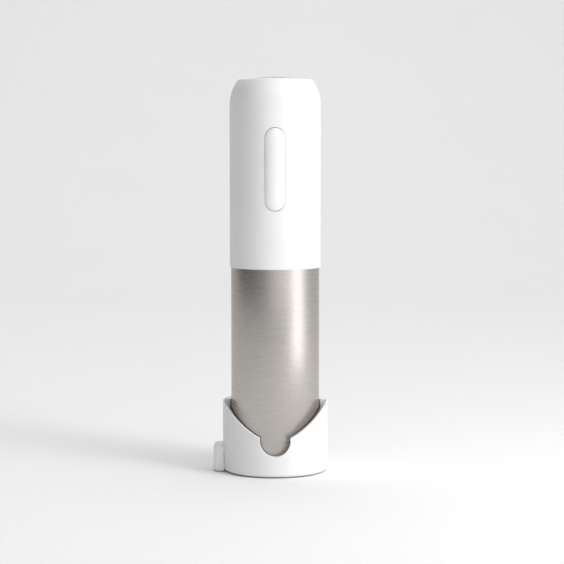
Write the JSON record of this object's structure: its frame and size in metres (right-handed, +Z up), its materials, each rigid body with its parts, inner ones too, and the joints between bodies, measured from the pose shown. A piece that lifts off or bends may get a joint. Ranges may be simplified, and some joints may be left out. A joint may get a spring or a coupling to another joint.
{
  "type": "electric wine opener",
  "caption": "Upright cordless wine opener: white housing with a long rocker button, brushed steel lower sleeve and an inner worm, standing in a round charging base with a dipping rim.",
  "frame": {"origin": "on the opener's axis, at the underside of the charging base's foot pad", "axes": "+Z up along the opener's axis; -Y is the front, where the base's rim dips and the rocker button is; the base's charging socket faces -X"},
  "size_m": [0.0695, 0.064, 0.2394],
  "materials": {
    "white_shell": "fine satin moulding",
    "button_plastic": "satin moulding",
    "black_plastic": "moulded",
    "brushed_sheet": "brushed",
    "bright_steel": "ground",
    "coated_steel": "dark low-friction coating",
    "zinc_steel": "zinc plated",
    "brass": "turned",
    "gear_nylon": "moulded",
    "cell_sleeve": "shrink sleeve over the cell's can",
    "board_green": "solder mask",
    "ferrite": "sintered",
    "pad_rubber": "matt",
    "lead_red": "smooth",
    "lead_black": "smooth"
  },
  "bodies": {
    "base": {"base_shell": "white_shell", "base_plate": "black_plastic", "foot_pad": "pad_rubber", "base_screw_1": "zinc_steel", "base_screw_2": "zinc_steel", "base_screw_3": "zinc_steel", "charge_jack": "black_plastic", "charge_board": "board_green", "contact_spring_left": "bright_steel", "contact_spring_right": "bright_steel"},
    "opener": {"upper_housing": "white_shell", "top_cap": "brushed_sheet", "top_screw_left": "zinc_steel", "top_screw_right": "zinc_steel", "lower_sleeve": "brushed_sheet", "mouth_ring": "black_plastic", "neck_barrel": "black_plastic", "charge_contact_left": "brass", "charge_contact_right": "brass", "charge_lead_left": "lead_black", "charge_lead_right": "lead_red", "output_plate": "black_plastic", "output_bush": "brass", "barrel_screw_1": "zinc_steel", "barrel_screw_2": "zinc_steel", "barrel_screw_3": "zinc_steel", "ring_gear": "zinc_steel", "motor_plate": "zinc_steel", "motor_screw_left": "zinc_steel", "motor_screw_right": "zinc_steel", "motor_can": "zinc_steel", "motor_end_cap": "black_plastic", "motor_magnet_left": "ferrite", "motor_magnet_right": "ferrite", "chassis_left": "black_plastic", "chassis_right": "black_plastic", "battery_cell_1": "cell_sleeve", "battery_cell_2": "cell_sleeve", "battery_cell_3": "cell_sleeve", "battery_cell_4": "cell_sleeve", "control_board": "board_green", "switch_up": "black_plastic", "switch_down": "black_plastic", "rocker_pin": "bright_steel"},
    "drive": {"output_carrier": "bright_steel", "worm_chuck": "zinc_steel", "worm": "coated_steel"},
    "first_stage": {"first_carrier": "bright_steel"},
    "rotor": {"motor_shaft": "bright_steel", "motor_armature": "coated_steel", "motor_pinion": "brass"},
    "rocker": {"rocker_button": "button_plastic"},
    "contact_left": {"contact_pin_left": "brass"},
    "contact_right": {"contact_pin_right": "brass"},
    "planet_1_1": {"planet_gear_1_1": "gear_nylon"},
    "planet_1_2": {"planet_gear_1_2": "gear_nylon"},
    "planet_1_3": {"planet_gear_1_3": "gear_nylon"},
    "planet_2_1": {"planet_gear_2_1": "gear_nylon"},
    "planet_2_2": {"planet_gear_2_2": "gear_nylon"},
    "planet_2_3": {"planet_gear_2_3": "gear_nylon"}
  },
  "joints": [
    {"name": "opener_lift", "type": "slide", "parent": "base", "child": "opener", "axis": [0, 0, 1], "range_m": [0, 0.06]},
    {"name": "drive_spin", "type": "hinge", "parent": "opener", "child": "drive", "pos_m": [0, 0, 0.1], "axis": [0, 0, 1], "continuous": true},
    {"name": "first_stage_spin", "type": "hinge", "parent": "opener", "child": "first_stage", "pos_m": [0, 0, 0.122], "axis": [0, 0, 1], "continuous": true},
    {"name": "rotor_spin", "type": "hinge", "parent": "opener", "child": "rotor", "pos_m": [0, 0, 0.155], "axis": [0, 0, 1], "continuous": true},
    {"name": "planet_2_1_spin", "type": "hinge", "parent": "drive", "child": "planet_2_1", "pos_m": [0, 0.009, 0.1177], "axis": [0, 0, 1], "continuous": true},
    {"name": "planet_2_2_spin", "type": "hinge", "parent": "drive", "child": "planet_2_2", "pos_m": [-0.00779, -0.0045, 0.1177], "axis": [0, 0, 1], "continuous": true},
    {"name": "planet_2_3_spin", "type": "hinge", "parent": "drive", "child": "planet_2_3", "pos_m": [0.00779, -0.0045, 0.1177], "axis": [0, 0, 1], "continuous": true},
    {"name": "planet_1_1_spin", "type": "hinge", "parent": "first_stage", "child": "planet_1_1", "pos_m": [0, 0.009, 0.1278], "axis": [0, 0, 1], "continuous": true},
    {"name": "planet_1_2_spin", "type": "hinge", "parent": "first_stage", "child": "planet_1_2", "pos_m": [-0.00779, -0.0045, 0.1278], "axis": [0, 0, 1], "continuous": true},
    {"name": "planet_1_3_spin", "type": "hinge", "parent": "first_stage", "child": "planet_1_3", "pos_m": [0.00779, -0.0045, 0.1278], "axis": [0, 0, 1], "continuous": true},
    {"name": "rocker_tilt", "type": "hinge", "parent": "opener", "child": "rocker", "pos_m": [0, -0.0232, 0.1839], "axis": [1, 0, 0], "range_deg": [-3, 3], "stiffness_Nm_per_rad": 0.4},
    {"name": "contact_left_press", "type": "slide", "parent": "base", "child": "contact_left", "axis": [0, 0, -1], "range_m": [0, 0.0009], "stiffness_N_per_m": 400, "springref_m": -0.0003, "deforming": ["contact_spring_left"]},
    {"name": "contact_right_press", "type": "slide", "parent": "base", "child": "contact_right", "axis": [0, 0, -1], "range_m": [0, 0.0009], "stiffness_N_per_m": 400, "springref_m": -0.0003, "deforming": ["contact_spring_right"]}
  ],
  "couplings": [
    {"joint": "first_stage_spin", "follows": "drive_spin", "ratio": 5},
    {"joint": "rotor_spin", "follows": "drive_spin", "ratio": 25},
    {"joint": "planet_2_1_spin", "follows": "drive_spin", "ratio": -2.6667},
    {"joint": "planet_2_2_spin", "follows": "drive_spin", "ratio": -2.6667},
    {"joint": "planet_2_3_spin", "follows": "drive_spin", "ratio": -2.6667},
    {"joint": "planet_1_1_spin", "follows": "drive_spin", "ratio": -13.333},
    {"joint": "planet_1_2_spin", "follows": "drive_spin", "ratio": -13.333},
    {"joint": "planet_1_3_spin", "follows": "drive_spin", "ratio": -13.333}
  ]
}
